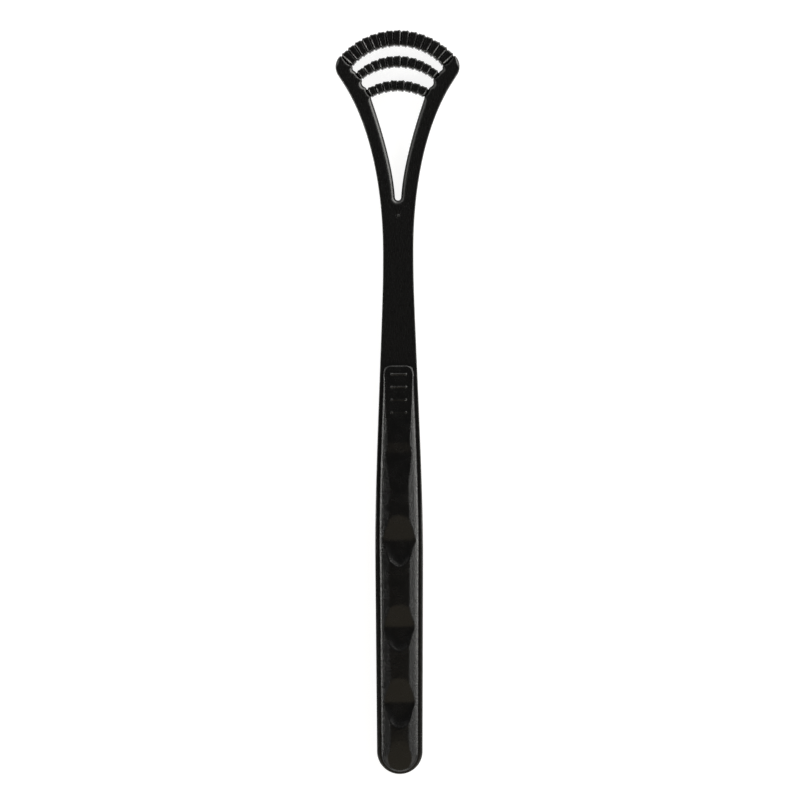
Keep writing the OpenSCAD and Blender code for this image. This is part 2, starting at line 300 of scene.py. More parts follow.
gripTpe = {
    # thermoplastic elastomer moulded in a spark-eroded cavity: a warm black with a fine grain that sparkles
    "colour": "#060606",
    "haze": "#0b0b0b",
    "grain": 0.4 * mm,
    "height": 0.05 * mm,         # of the grain
    "cloud": 2.5 * mm,
    "roughLow": 0.22,
    "roughHigh": 0.3,
    "ior": 1.5,
    "specular": 0.39,
}


def gripTpeMaterial():
    material, tree, place = newMaterial("gripTpe")
    grain = noiseAt(tree, place, gripTpe["grain"])
    cloud = noiseAt(tree, place, gripTpe["cloud"], 3)
    finishMaterial(tree, gripTpe, grain, cloud)
    return material


scraperTpe = {
    # the same elastomer from a smoother cavity: black, with a dull shine on the rounded ribs
    "colour": "#080808",
    "haze": "#0d0d0d",
    "grain": 0.22 * mm,
    "height": 0.006 * mm,
    "roughLow": 0.16,
    "roughHigh": 0.26,
    "ior": 1.5,
    "specular": 0.39,
}


def scraperTpeMaterial():
    material, tree, place = newMaterial("scraperTpe")
    grain = noiseAt(tree, place, scraperTpe["grain"])
    finishMaterial(tree, scraperTpe, grain, grain)
    return material


# Outlines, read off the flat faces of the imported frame

outlineValues = {
    "step": 0.28 * mm,           # spacing of the points along an outline
    "straightFrom": 6 * mm,      # length past which a stretch between two points is a straight one
    "cornerTurn": 24,            # degrees of turn that count as a corner
    "cornerReach": 0.45 * mm,    # how far the rounding of a corner reaches
    "cornerPasses": 4,
    "flatness": 0.01 * mm,       # how far a face may lie from the height that is asked for
    "facing": 0.99,              # how square to the front or back it has to look
}


def faceLoops(node, height, up):
    # closed loops round a node's flat faces at one height, with the material on the left
    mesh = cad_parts[node].data
    ends = set()
    for face in mesh.polygons:
        points = [mesh.vertices[v].co for v in face.vertices]
        if face.normal.z * up > outlineValues["facing"] and all(
                abs(p.z - height) < outlineValues["flatness"] for p in points):
            keys = [(round(p.x, 7), round(p.y, 7)) for p in points]
            ends.update((keys[i], keys[(i + 1) % 3]) for i in range(3))
    follow = {a: b for a, b in ends if (b, a) not in ends}
    loops = []
    while follow:
        start, point = follow.popitem()
        loop = [start]
        while point != start:
            loop.append(point)
            point = follow.pop(point)
        loops.append(loop[::up])
    return sorted(loops, key=lambda loop: -abs(loopArea(loop)))


def loopArea(loop):
    return sum(a[0] * b[1] - b[0] * a[1] for a, b in zip(loop, loop[1:] + loop[:1])) / 2


def stepsBetween(a, b, step):
    return max(1, round((Vector(b) - Vector(a)).length / step))


def smoothRun(points, step):
    # a curve through the points of one smooth stretch, with its two ends kept
    ends = [Vector(points[0]) * 2 - Vector(points[1]), Vector(points[-1]) * 2 - Vector(points[-2])]
    p = [ends[0]] + [Vector(q) for q in points] + [ends[1]]

    def gapAfter(i):
        return max((p[i + 1] - p[i]).length, 1e-9)

    def slopeAt(i):
        # the curve's direction at a point: the nearer of its two neighbours counts for more
        low, high = gapAfter(i - 1), gapAfter(i)
        return ((p[i] - p[i - 1]) / low * high + (p[i + 1] - p[i]) / high * low) / (low + high)

    made = []
    for i in range(1, len(p) - 2):
        before, after, gap = slopeAt(i), slopeAt(i + 1), gapAfter(i)
        count = stepsBetween(p[i], p[i + 1], step)
        for k in range(count):
            t = k / count
            made.append(p[i] * (2 * t ** 3 - 3 * t ** 2 + 1) + before * gap * (t ** 3 - 2 * t ** 2 + t)
                        + p[i + 1] * (3 * t ** 2 - 2 * t ** 3) + after * gap * (t ** 3 - t ** 2))
    return made


def keepStraight(loop, step):
    # points all along the long straight stretches, so that a curve through them doesn't bulge
    made = []
    for a, b in zip(loop, loop[1:] + loop[:1]):
        away = Vector(b) - Vector(a)
        count = round(away.length / step) if away.length > outlineValues["straightFrom"] else 1
        made += [Vector(a) + away * k / count for k in range(count)]
    return made


def smoothLoop(loop, step=outlineValues["step"]):
    # even points along a loop, curved between its corners and slightly rounded at them
    loop = keepStraight(loop, step)

    def turnAt(i):
        a = Vector(loop[i]) - Vector(loop[i - 1])
        b = Vector(loop[(i + 1) % len(loop)]) - Vector(loop[i])
        return abs(a.angle_signed(b))

    corners = [i for i in range(len(loop)) if turnAt(i) > math.radians(outlineValues["cornerTurn"])]
    if not corners:
        closed = loop[-2:] + loop + loop[:3]    # run past the start and cut back, so that it doesn't show
        made = smoothRun(closed, step)
        skip = sum(stepsBetween(closed[k], closed[k + 1], step) for k in (0, 1))
        tail = sum(stepsBetween(closed[-k - 2], closed[-k - 1], step) for k in (0, 1))
        return made[skip:len(made) - tail]
    made = []
    for start, end in zip(corners, corners[1:] + [corners[0] + len(loop)]):
        made += smoothRun([loop[i % len(loop)] for i in range(start, end + 1)], step)
    sharp = [Vector(loop[i]) for i in corners]
    near = [min((p - q).length for q in sharp) < outlineValues["cornerReach"] for p in made]
    for _ in range(outlineValues["cornerPasses"]):
        made = [(made[i - 1] + 2 * made[i] + made[(i + 1) % len(made)]) / 4 if near[i] else made[i]
                for i in range(len(made))]
    return made


def loopNormals(loop):
    # unit directions out of the material, at each point
    return [Vector((b.y - a.y, a.x - b.x)).normalized()
            for a, b in zip(loop[-1:] + loop[:-1], loop[1:] + loop[:1])]


# Skins: closed surfaces of rings, walls between rings and flat caps, with exact normals on round edges

def newSkin():
    return {"points": [], "faces": [], "normals": []}


def addRing(skin, loop, normals, inset, height):
    # inset may be one number or one for each point; height too
    first = len(skin["points"])
    insets, heights = (v if isinstance(v, list) else [v] * len(loop) for v in (inset, height))
    for p, n, d, z in zip(loop, normals, insets, heights):
        skin["points"].append((p.x - n.x * d, p.y - n.y * d, z))
    return list(range(first, first + len(loop)))


def addWall(skin, upper, lower, upperNormals, lowerNormals):
    count = len(upper)
    for i in range(count):
        k = (i + 1) % count
        skin["faces"].append((lower[i], lower[k], upper[k], upper[i]))
        skin["normals"].append((lowerNormals[i], lowerNormals[k], upperNormals[k], upperNormals[i]))


def addCap(skin, rings, up):
    # a flat face between an outer ring and its holes, that looks up (1) or down (-1)
    order = [v for ring in rings for v in ring]
    flat = [[Vector((skin["points"][v][0], skin["points"][v][1], 0)) for v in ring] for ring in rings]
    for a, b, c in tessellate_polygon(flat):
        p, q, r = (Vector(skin["points"][order[k]][:2]) for k in (a, b, c))
        turn = (q - p).x * (r - p).y - (q - p).y * (r - p).x
        corners = (a, b, c) if turn * up > 0 else (a, c, b)
        skin["faces"].append(tuple(order[k] for k in corners))
        skin["normals"].append((Vector((0, 0, up)),) * 3)


def roundEdge(skin, loop, normals, reach, capZ, up, steps, fullTurns=None):
    # rings from a cap's edge round to the upright wall; gives the first and the last ring
    whole = [math.radians(turn) for turn in fullTurns or [90] * len(loop)]
    radii = [w / math.sin(turn) for w, turn in zip(reach, whole)]
    rings = []
    for k in range(steps + 1):
        turns = [turn * k / steps for turn in whole]
        inset = [w - r * math.sin(turn) for w, r, turn in zip(reach, radii, turns)]
        height = [capZ - up * r * (1 - math.cos(turn)) for r, turn in zip(radii, turns)]
        tilted = [Vector((n.x * math.sin(turn), n.y * math.sin(turn), up * math.cos(turn)))
                  for n, turn in zip(normals, turns)]
        rings.append((addRing(skin, loop, normals, inset, height), tilted))
    for upper, lower in zip(rings, rings[1:]) if up > 0 else zip(rings[1:], rings):
        addWall(skin, upper[0], lower[0], upper[1], lower[1])
    return rings[0][0], rings[-1][0]


def addUpright(skin, upper, lower, normals):
    flat = [Vector((n.x, n.y, 0)) for n in normals]
    addWall(skin, upper, lower, flat, flat)


def addTube(skin, loop, inset, highZ, lowZ):
    # an upright wall between two heights; gives its upper and its lower ring
    normals = loopNormals(loop)
    high = addRing(skin, loop, normals, inset, highZ)
    low = addRing(skin, loop, normals, inset, lowZ)
    addUpright(skin, high, low, normals)
    return high, low


def skinObject(skin, name, material):
    mesh = bpy.data.meshes.new(name)
    mesh.from_pydata(skin["points"], [], skin["faces"])
    mesh.shade_smooth()
    flat = []
    for face, given in zip(mesh.polygons, skin["normals"]):
        flat += list(given) if given else [mesh.vertex_normals[v].vector for v in face.vertices]
    mesh.normals_split_custom_set([tuple(n) for n in flat])
    mesh.materials.append(material)
    return newObject(name, mesh)


def finishPiece(piece, node):
    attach(piece, "root")
    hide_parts(node)
    print("Made", piece.name, "with", len(piece.data.polygons), "faces")


# The ribbed bars: values that the frame's seams and rails share with them

barValues = {
    "frontY": 90 * mm,
    "frontRadius": 18.55 * mm,
    "innerRadius": 14.55 * mm,   # every edge but the front one has this radius
    "ribPitch": 1.85 * mm,
    "ribRise": 0.25 * mm,
    "railCover": 0.75 * mm,
    "railThick": 1.6 * mm,
    "railRoot": 2.5,             # degrees that a rail runs on into the fork arm
    "railSteps": 40,
}
bars = {
    # top of the outer edge below the front, width, half angle of the ribbed stretch
    "outer_scraper": {"drop": 0, "width": 4 * mm, "half": 48, "radius": barValues["frontRadius"]},
    "middle_scraper": {"drop": 6.2 * mm, "width": 2.95 * mm, "half": 40, "radius": barValues["innerRadius"]},
    "inner_scraper": {"drop": 12.1 * mm, "width": 2.8 * mm, "half": 28.6, "radius": barValues["innerRadius"]},
}
for bar in bars.values():
    topY = barValues["frontY"] - bar["drop"]
    bar["midRadius"] = (bar["radius"] + barValues["innerRadius"]) / 2
    bar["upperCentre"] = topY - bar["radius"]
    bar["lowerCentre"] = topY - bar["width"] - barValues["innerRadius"]
    bar["centre"] = topY - bar["width"] / 2 - bar["midRadius"]


def barEdge(bar, angle, edge):
    # distance from the bar's centre to its upper or lower edge at an angle
    radius = bar["radius"] if edge == "upper" else barValues["innerRadius"]
    shift = bar[edge + "Centre"] - bar["centre"]
    return shift * math.cos(angle) + math.sqrt(radius ** 2 - (shift * math.sin(angle)) ** 2)


# The frame: one plate with round edges, two pockets, four windows, a gate mark and three rails

plate = {
    "softEdge": 1.7 * mm,        # width of the rounding in the V gap, the slots and on the head's shoulders
    "crispEdge": 0.35 * mm,      # and on the outsides of the arms, the neck and the handle
    "edgeTurn": 66,              # degrees that the rounding turns before the upright wall starts
    "seamEdge": 1.3 * mm,        # edge radius where a ribbed bar starts
    "rimEdge": 1.1 * mm,         # width of the rounding on the rim along the palm and the butt
    "rimTurn": 38,               # degrees that it turns
    "rimExtra": 0.1 * mm,        # what the rim is broader there than at the grip's top end
    "rimFrom": -14 * mm,
    "rimLength": 30 * mm,        # length over which it grows broader
    "headFrom": 40 * mm,         # station past which the edges are those of the head
    "shoulderFrom": -0.1,        # the head's outside is crisp up to where it looks this much ahead,
    "shoulderFade": 0.35,        # and as soft as its openings where it looks this much further ahead
    "seamFrom": 0.1 * mm,        # the seam's edge reaches this far, and fades over the next length
    "seamFade": 0.9 * mm,
    "edgeRoom": 0.9,             # how much of the room up to the next edge an edge may take
    "edgeAcross": 0.12,          # a point is across if this share of its distance, or more, lies inward
    "edgePasses": 6,             # how often the widths of the rounding are evened out
    "pocketEdge": 0.1 * mm,
    "gateEdge": 0.06 * mm,
    "edgeSteps": 8,
    "smallSteps": 3,
    "gateStep": 0.1 * mm,
    "frontPocket": 0.8 * mm,
    "backPocket": 0.6 * mm,
    "gateDepth": 0.15 * mm,
    "stubRadius": 0.36 * mm,     # of the sprue's stub in the gate mark
    "stubRise": 0.14 * mm,
    "stubSides": 24,
    "stubSteps": 6,
}
frontFloorZ = frontZ - plate["frontPocket"]
backFloorZ = backZ + plate["backPocket"]


def palmShare(y):
    # 0 at the grip's top end, 1 along the palm and the butt
    return smoothStep((plate["rimFrom"] - y) / plate["rimLength"])


def gripPocket(step=outlineValues["step"]):
    # outline of the front pocket, drawn in where the rim is broader
    loop = smoothLoop(faceLoops("frame", frontZ, 1)[1], step)
    return [p + n * plate["rimExtra"] * palmShare(p.y) for p, n in zip(loop, loopNormals(loop))]


def roomInside(loop, normals, most):
    # the largest round edge each point of a loop can carry before it meets another edge
    cell = most * 2
    cloud = {}
    for p in loop:
        cloud.setdefault((round(p.x / cell), round(p.y / cell)), []).append(p)
    limits = []
    for p, n in zip(loop, normals):
        best = most
        cx, cy = round(p.x / cell), round(p.y / cell)
        for dx in (-1, 0, 1):
            for dy in (-1, 0, 1):
                for q in cloud.get((cx + dx, cy + dy), ()):
                    away = q - p
                    inward = -n.dot(away)
                    if inward > plate["edgeAcross"] * away.length and away.length > 1e-6:
                        best = min(best, away.length_squared / (2 * inward))
        limits.append(best)
    return limits


def onSeam(p):
    # how near a point is to the line where a ribbed bar starts, in metres
    nearest = 1.0
    for bar in bars.values():
        side = Vector((abs(p.x), p.y - bar["centre"]))
        half = math.radians(bar["half"])
        along = side.x * math.sin(half) + side.y * math.cos(half)
        across = side.x * math.cos(half) - side.y * math.sin(half)
        low, high = barEdge(bar, half, "lower"), barEdge(bar, half, "upper")
        past = max(low - along, along - high, 0)
        nearest = min(nearest, math.hypot(past, across))
    return nearest


def edgeRadii(loop, normals, pocket):
    # width of the rounding at each point: broad in the head's openings, crisp outside, in between on the rim
    limits = roomInside(loop, normals, plate["softEdge"])
    radii = []
    for p, n, limit in zip(loop, normals, limits):
        soft = 0
        if p.y > plate["headFrom"]:
            # the head's openings are soft, its shoulders softer the more they face ahead
            ahead = (n.y - plate["shoulderFrom"]) / plate["shoulderFade"]
            soft = 1 if n.x * p.x < 0 else smoothStep(ahead)
        wanted = plate["crispEdge"] + (plate["softEdge"] - plate["crispEdge"]) * soft
        wanted += (plate["rimEdge"] - plate["crispEdge"]) * palmShare(p.y)
        rim = min((p - q).length for q in pocket[::4]) - plate["pocketEdge"]    # every fourth point will do
        seam = smoothStep((onSeam(p) - plate["seamFrom"]) / plate["seamFade"])
        wanted = min(wanted, rim, limit * plate["edgeRoom"])
        radii.append(min(wanted, plate["seamEdge"]) + max(wanted - plate["seamEdge"], 0) * seam)
    for _ in range(plate["edgePasses"]):
        radii = [min(radii[i], (radii[i - 1] + radii[i] * 2 + radii[(i + 1) % len(radii)]) / 4)
                 for i in range(len(radii))]
    return radii


def windowTubes(skin, inset, highZ, lowZ, order):
    # upright walls along the four windows of the handle; gives their upper and their lower rings
    windows = faceLoops("frame", frontFloorZ, 1)[1:]
    return zip(*(addTube(skin, smoothLoop(window)[::order], inset, highZ, lowZ) for window in windows))


def railShell(skin, bar):
    # a curved bar with a square section, closed at both ends inside the fork arms
    reach = math.radians(bar["half"] + barValues["railRoot"])
    half = barValues["railThick"] / 2
    midZ = (frontZ + backZ) / 2
    steps = barValues["railSteps"]
    sections = []
    for k in range(steps + 1):
        angle = reach * (2 * k / steps - 1)
        low = barEdge(bar, angle, "lower") + barValues["railCover"]
        high = barEdge(bar, angle, "upper") - barValues["railCover"]
        section = []
        for distance, z in ((low, -half), (high, -half), (high, half), (low, half)):
            x, y = distance * math.sin(angle), bar["centre"] + distance * math.cos(angle)
            section.append(len(skin["points"]))
            skin["points"].append((x, y, midZ + z))
        sections.append(section)
    faces = [tuple(sections[0][::-1]), tuple(sections[-1])]
    for a, b in zip(sections, sections[1:]):
        faces += [(a[i], a[(i + 1) % 4], b[(i + 1) % 4], b[i]) for i in range(4)]
    for face in faces:
        p, q, r = (Vector(skin["points"][face[i]]) for i in (0, 1, 2))
        skin["faces"].append(face)
        skin["normals"].append(((q - p).cross(r - p).normalized(),) * 4)


def gateStub(skin, loop):
    # what the cut sprue leaves: a low dome in the middle of the gate mark
    middle = sum(loop, Vector((0, 0))) / len(loop)
    radius, rise = plate["stubRadius"], plate["stubRise"]
    ball = (radius ** 2 + rise ** 2) / (2 * rise)
    foot = frontZ - plate["gateDepth"]
    sides, steps = plate["stubSides"], plate["stubSteps"]
    levels = [(radius, foot - rise)]
    for k in range(steps):
        turn = math.asin(radius / ball) * (1 - k / steps)
        levels.append((ball * math.sin(turn), foot + rise - ball * (1 - math.cos(turn))))
    first = len(skin["points"])
    for away, z in levels:
        for k in range(sides):
            turn = 2 * math.pi * k / sides
            skin["points"].append((middle.x + away * math.cos(turn), middle.y + away * math.sin(turn), z))
    top = len(skin["points"])
    skin["points"].append((middle.x, middle.y, foot + rise))
    faces = [tuple(first + k for k in range(sides))[::-1]]
    for ring in range(len(levels) - 1):
        low = first + ring * sides
        for k in range(sides):
            a, b = low + k, low + (k + 1) % sides
            faces.append((a, b, b + sides, a + sides))
    last = first + (len(levels) - 1) * sides
    faces += [(last + k, last + (k + 1) % sides, top) for k in range(sides)]
    skin["faces"] += faces
    skin["normals"] += [None] * len(faces)


def makeFrame(material):
    skin = newSkin()
    front = faceLoops("frame", frontZ, 1)
    back = faceLoops("frame", backZ, -1)
    outline = smoothLoop(front[0])
    pocket = gripPocket()
    gate = smoothLoop(front[2], plate["gateStep"])
    backPocket = smoothLoop(back[1])
    outNormals = loopNormals(outline)
    radii = edgeRadii(outline, outNormals, pocket)
    steps = plate["edgeSteps"]
    turns = [plate["edgeTurn"] + (plate["rimTurn"] - plate["edgeTurn"]) * palmShare(p.y) for p in outline]
    topRing, topWall = roundEdge(skin, outline, outNormals, radii, frontZ, 1, steps, turns)
    lowRing, lowWall = roundEdge(skin, outline, outNormals, radii, backZ, -1, steps, turns)
    addUpright(skin, topWall, lowWall, outNormals)

    def sunk(loop, capZ, up, edge, floorZ):
        # a pocket's edge, wall and floor ring; gives its ring in the cap and its ring on the floor
        normals = loopNormals(loop)
        rim, wall = roundEdge(skin, loop, normals, [edge] * len(loop), capZ, up, plate["smallSteps"])
        bottom = addRing(skin, loop, normals, 0, floorZ)
        addUpright(skin, *((wall, bottom) if up > 0 else (bottom, wall)), normals)
        return rim, bottom

    pocketRim, pocketFloor = sunk(pocket, frontZ, 1, plate["pocketEdge"], frontFloorZ)
    gateRim, gateFloor = sunk(gate, frontZ, 1, plate["gateEdge"], frontZ - plate["gateDepth"])
    backRim, backFloor = sunk(backPocket, backZ, -1, plate["pocketEdge"], backFloorZ)
    highHoles, lowHoles = windowTubes(skin, 0, frontFloorZ, backFloorZ, 1)
    addCap(skin, [topRing, pocketRim, gateRim], 1)
    addCap(skin, [lowRing, backRim], -1)
    addCap(skin, [pocketFloor, *highHoles], 1)
    addCap(skin, [backFloor, *lowHoles], -1)
    addCap(skin, [gateFloor], 1)
    gateStub(skin, gate)
    for bar in bars.values():
        railShell(skin, bar)
    return skinObject(skin, "frame_moulding", material)


framePiece = makeFrame(blackAbsMaterial())
finishPiece(framePiece, "frame")


# The ribbed bars: one rib with its share of the sleeve, repeated and bent by Geometry Nodes

rib = {
    "edge": 0.5 * mm,            # radius of the sleeve's four long edges
    "edgeSteps": 6,
    "grooveHalf": 0.08 * mm,
    "grooveDepth": 0.34 * mm,
    "shoulder": 0.52 * mm,       # length of the rounding from a groove up to a rib, on a rib's outer side
    "innerShoulder": 0.16 * mm,  # and on the side towards the middle of the bar
    "shoulderSteps": 8,
    "slopeStart": 1.3,           # how a shoulder leaves the rib and how it meets the groove
    "slopeEnd": 0.6,
    "nibAt": 0.22,               # place of a rib's nibs, as a share of the pitch from its middle
    "nibHalf": 0.36 * mm,
    "nibReach": 0.17 * mm,       # what a nib stands out past the rest of the rib's end
    "endShare": 0.6,             # depth of a groove at the rib's ends, as a share of its depth on top
    "crestSteps": 6,
    "mergeWithin": 0.005 * mm,   # points of two ribs that are nearer than this are joined
}


def ribCell(pitch, width, low, high):
    # one rib laid out straight: X along the bar towards its end, Y across it, Z up
    marks = []
    for side, shoulder in ((-1, rib["innerShoulder"]), (1, rib["shoulder"])):
        crest = pitch / 2 - rib["grooveHalf"] - shoulder
        slope = [(side * pitch / 2, 1.0)]
        for k in range(rib["shoulderSteps"] + 1):
            fallen = math.cos(math.pi / 2 * k / rib["shoulderSteps"])
            share = 1 - (1 - fallen ** rib["slopeStart"]) ** rib["slopeEnd"]
            slope.append((side * (crest + shoulder * fallen), share))
        marks.append(slope)
    first, last = marks[0][-1][0], marks[1][-1][0]
    steps = rib["crestSteps"]
    crestMarks = [(first + (last - first) * k / steps, 0.0) for k in range(1, steps)]
    marks = marks[0] + crestMarks + marks[1][::-1]
    points, faces = [], []
    ringSize = 4 * (rib["edgeSteps"] + 1)
    for x, share in marks:
        inset = rib["grooveDepth"] * share
        fromNib = min(abs(x - rib["nibAt"] * pitch) / rib["nibHalf"], 1)
        halfWidth = width / 2 - inset * rib["endShare"] - rib["nibReach"] * smoothStep(fromNib) - rib["edge"]
        top, bottom = high - inset - rib["edge"], low + inset + rib["edge"]
        corners = ((halfWidth, top), (-halfWidth, top), (-halfWidth, bottom), (halfWidth, bottom))
        for quarter, (y, z) in enumerate(corners):
            for k in range(rib["edgeSteps"] + 1):
                turn = math.pi / 2 * (quarter + k / rib["edgeSteps"])
                points.append((x, y + rib["edge"] * math.cos(turn), z + rib["edge"] * math.sin(turn)))
    for ring in range(len(marks) - 1):
        for k in range(ringSize):
            a, b = ring * ringSize + k, ring * ringSize + (k + 1) % ringSize
            faces.append((a, b, b + ringSize, a + ringSize))
    mesh = bpy.data.meshes.new("ribCell")
    mesh.from_pydata(points, [], faces)
    return mesh


def ribbedBarTree():
    # repeats the rib cell in a row and bends the row between the bar's two edges
    tree = bpy.data.node_groups.new("ribbedBar", "GeometryNodeTree")
    sizes = ("Rib Pitch", "Bar Width", "Middle Radius", "Bar Centre",
             "Upper Radius", "Upper Centre", "Lower Radius", "Lower Centre")
    kinds = {"Rib": "Geometry", "Rib Count": "Int", **dict.fromkeys(sizes, "Float"), "Finish": "Material"}
    for name, kind in kinds.items():
        tree.interface.new_socket(name, in_out="INPUT", socket_type="NodeSocket" + kind)
    tree.interface.new_socket("Bar", in_out="OUTPUT", socket_type="NodeSocketGeometry")
    given = addNode(tree, "NodeGroupInput").outputs

    def maths(operation, *values):
        return addNode(tree, "ShaderNodeMath", {"operation": operation}, dict(enumerate(values))).outputs[0]

    def vector(x, y=0.0, z=0.0):
        return addNode(tree, "ShaderNodeCombineXYZ", None, {"X": x, "Y": y, "Z": z}).outputs[0]

    spare = maths("SUBTRACT", given["Rib Count"], 1.0)
    start = maths("MULTIPLY", maths("MULTIPLY", spare, given["Rib Pitch"]), -0.5)
    row = addNode(tree, "GeometryNodeMeshLine", None, {
        "Count": given["Rib Count"], "Start Location": vector(start), "Offset": vector(given["Rib Pitch"])})
    # the ribs of the left half are mirrored, so that every nib lies towards its end of the bar
    number = addNode(tree, "GeometryNodeInputIndex")
    leftHalf = maths("LESS_THAN", number.outputs[0], maths("MULTIPLY", spare, 0.5))
    facing = vector(maths("MULTIPLY_ADD", leftHalf, -2.0, 1.0), 1.0, 1.0)
    ribs = addNode(tree, "GeometryNodeInstanceOnPoints", None, {
        "Points": row.outputs[0], "Instance": given["Rib"], "Scale": facing})
    realRibs = addNode(tree, "GeometryNodeRealizeInstances", None, {"Geometry": ribs.outputs[0]})
    joined = addNode(tree, "GeometryNodeMergeByDistance", None, {
        "Geometry": realRibs.outputs[0], "Distance": rib["mergeWithin"]})
    place = addNode(tree, "GeometryNodeInputPosition")
    parts = addNode(tree, "ShaderNodeSeparateXYZ", None, {"Vector": place.outputs[0]}).outputs
    angle = maths("DIVIDE", parts["X"], given["Middle Radius"])
    sine, cosine = maths("SINE", angle), maths("COSINE", angle)

    def edgeDistance(radius, centre):
        shift = maths("SUBTRACT", given[centre], given["Bar Centre"])
        aside = maths("MULTIPLY", shift, sine)
        square = maths("MULTIPLY", given[radius], given[radius])
        square = maths("SUBTRACT", square, maths("MULTIPLY", aside, aside))
        return maths("ADD", maths("MULTIPLY", shift, cosine), maths("SQRT", square))

    upper = edgeDistance("Upper Radius", "Upper Centre")
    lower = edgeDistance("Lower Radius", "Lower Centre")
    share = maths("ADD", maths("DIVIDE", parts["Y"], given["Bar Width"]), 0.5)
    distance = maths("MULTIPLY_ADD", maths("SUBTRACT", upper, lower), share, lower)
    bentY = maths("MULTIPLY_ADD", distance, cosine, given["Bar Centre"])
    bent = vector(maths("MULTIPLY", distance, sine), bentY, parts["Z"])
    curved = addNode(tree, "GeometryNodeSetPosition", None, {"Geometry": joined.outputs[0], "Position": bent})
    real = addNode(tree, "GeometryNodeRealizeInstances", None, {"Geometry": curved.outputs[0]})
    painted = addNode(tree, "GeometryNodeSetMaterial", None, {
        "Geometry": real.outputs[0], "Material": given["Finish"]})
    addNode(tree, "NodeGroupOutput", None, {"Bar": painted.outputs[0]})
    return tree


def makeBar(name, bar, tree, material):
    length = 2 * math.radians(bar["half"]) * bar["midRadius"]
    count = round(length / barValues["ribPitch"])
    pitch = length / count
    rise = barValues["ribRise"]
    source = newObject(name + "_ribs", ribCell(pitch, bar["width"], backZ - rise, frontZ + rise))
    modifier = source.modifiers.new("ribbedBar", "NODES")
    modifier.node_group = tree
    values = {
        "Rib Count": count, "Rib Pitch": pitch, "Bar Width": bar["width"],
        "Middle Radius": bar["midRadius"], "Bar Centre": bar["centre"],
        "Upper Radius": bar["radius"], "Upper Centre": bar["upperCentre"],
        "Lower Radius": barValues["innerRadius"], "Lower Centre": bar["lowerCentre"],
        "Finish": material,
    }
    for item in tree.interface.items_tree:
        if item.name in values:
            modifier[item.identifier] = values[item.name]
    bpy.context.view_layer.update()
    graph = bpy.context.evaluated_depsgraph_get()
    mesh = bpy.data.meshes.new_from_object(source.evaluated_get(graph))
    source.modifiers.clear()
    source.data = mesh
    shape = bmesh.new()
    shape.from_mesh(mesh)
    bmesh.ops.holes_fill(shape, edges=[e for e in shape.edges if e.is_boundary])
    bmesh.ops.recalc_face_normals(shape, faces=shape.faces)
    for face in shape.faces:
        face.smooth = len(face.verts) == 4
    shape.to_mesh(mesh)
    shape.free()
    return source


barTree = ribbedBarTree()
barMaterial = scraperTpeMaterial()
for barName, bar in bars.items():
    piece = makeBar(barName, bar, barTree, barMaterial)
    finishPiece(piece, barName)


# The grip: a crowned pad with sloped flanks, four scoops and four small ribs, tied to a flat back pad

pad = {
    "gap": 0.02 * mm,            # left between the two mouldings
    "rise": 2.4 * mm,            # full height above the frame
    "topRise": 0.9 * mm,         # height at the top end
    "climb": 28 * mm,            # length of the slope up from the top end
    "fall": 10 * mm,             # length of the fall to the butt
    "fallRadius": 34 * mm,
    "crownRadius": 15 * mm,
    "flankSlope": 28,            # degrees
    "flankTop": 1.01 * mm,       # height at which the flank's plane would meet the side wall
    "edge": 2.6 * mm,            # radius of the round edge between the flank and the side wall
    "edgeTurn": 50,              # degrees of slope at which the round edge meets the side wall
    "edgeRoom": 0.32 * mm,       # height that the round edge keeps where the pad is low
    "cornerRadius": 1.2 * mm,    # of the plan at the top end
    "blend": 0.09 * mm,          # softness of the creases on the front
    "lip": 0.07 * mm,            # softness of a scoop's lip
    "climbBend": 0.35 * mm,      # softness of the bend where the slope from the top end is over
    "columns": 120,
    "rowStep": 0.17 * mm,
    "endLength": 1.2 * mm,       # stretch at both ends in which the rows come closer and closer
    "endRows": 12,
    "fineStep": 0.07 * mm,       # between the rows over a small rib
    "fineRows": 6,               # on each side of its middle
    "leastStep": 0.004 * mm,
    "outlineStep": 0.15 * mm,
    "buttReach": 4.5 * mm,       # station from the butt whose half width is the radius of the end
    "backEdge": 0.25 * mm,
    "backSteps": 5,
}
scoops = [
    # station, depth, reach towards the head and towards the butt, and how square the end wall is (0 for none)
    {"y": -12.4 * mm, "depth": 0.35 * mm, "up": 4.2 * mm, "down": 4.6 * mm, "square": 0},
    {"y": -33.6 * mm, "depth": 1.0 * mm, "up": 6.0 * mm, "down": 6.8 * mm, "square": 1.8},
    {"y": -54.4 * mm, "depth": 0.9 * mm, "up": 5.2 * mm, "down": 6.3 * mm, "square": 1.8},
    {"y": -72.6 * mm, "depth": 1.0 * mm, "up": 5.6 * mm, "down": 6.6 * mm, "square": 1.9},
]
scoopShape = {
    "reach": 9 * mm,             # nothing of a scoop lies further than this from its station
    "half": 4.8 * mm,            # half width that the end wall closes in from
    "floorSlope": 0.05,          # of the floor between the valley and the end wall
    "valley": 0.35 * mm,         # softness of the valley line in the middle
    "valleySide": 1.6 * mm,      # and what is added to it at the sides
    "wallLength": 3.15 * mm,     # width of the end wall
    "wallFade": 2.2 * mm,        # the end wall grows out of the floor over this length from the valley
}
thumbRibs = {
    # a thin bead between two small domes; the pad climbs under them, so each bead stands out less
    "first": 2.2 * mm, "pitch": 3.07 * mm, "half": 1.72 * mm,
    "beadRadius": 0.28 * mm, "beads": (0.11 * mm, 0.10 * mm, 0.06 * mm, 0.02 * mm),
    "domeRadius": 0.38 * mm, "domes": (0.15 * mm, 0.15 * mm, 0.14 * mm, 0.12 * mm),
}
gateDash = {
    "x": -0.25 * mm, "y": -82.1 * mm,
    "half": 0.4 * mm, "radius": 0.2 * mm, "rise": 0.08 * mm, "reach": 1 * mm,
}


def thumbRibY(i, highY):
    return highY - thumbRibs["first"] - i * thumbRibs["pitch"]


